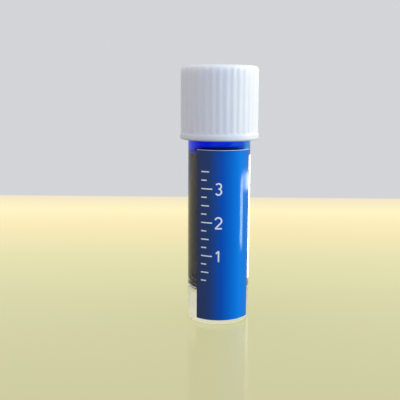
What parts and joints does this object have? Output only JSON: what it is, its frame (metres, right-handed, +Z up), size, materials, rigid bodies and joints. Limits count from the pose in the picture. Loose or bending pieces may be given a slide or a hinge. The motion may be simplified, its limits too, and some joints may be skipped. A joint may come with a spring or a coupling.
{
  "type": "ink sample vial",
  "caption": "Small self-standing clear plastic vial full of blue ink, with a ribbed white screw cap, a sealing liner and a plain blue label.",
  "frame": {"origin": "centre of the base ring, on the surface that the vial stands on", "axes": "+Z up along the vial's axis, -Y towards the middle of the label"},
  "size_m": [0.0188, 0.0188, 0.0613],
  "materials": {
    "clear_plastic": "clear natural polypropylene, slightly milky, glossy",
    "white_plastic": "white moulded polypropylene, satin",
    "liner_foam": "white foamed polyethylene",
    "blue_ink": "dark blue water-based ink, which lets strong blue through in a thin film",
    "label_paper": "glossy printed paper, white at its cut edges"
  },
  "bodies": {
    "vial": {"vial_tube": "clear_plastic", "ink": "blue_ink", "label": "label_paper"},
    "liner": {"cap_liner": "liner_foam"},
    "cap": {"screw_cap": "white_plastic"}
  },
  "joints": [
    {"name": "cap_lift", "type": "slide", "parent": "vial", "child": "liner", "axis": [0, 0, 1], "range_m": [0, 0.0175]},
    {"name": "cap_turn", "type": "hinge", "parent": "liner", "child": "cap", "pos_m": [0, 0, 0.06], "axis": [0, 0, 1], "range_deg": [0, 1800]}
  ],
  "couplings": [
    {"joint": "cap_turn", "follows": "cap_lift", "rad_per_m": 1795.2}
  ]
}
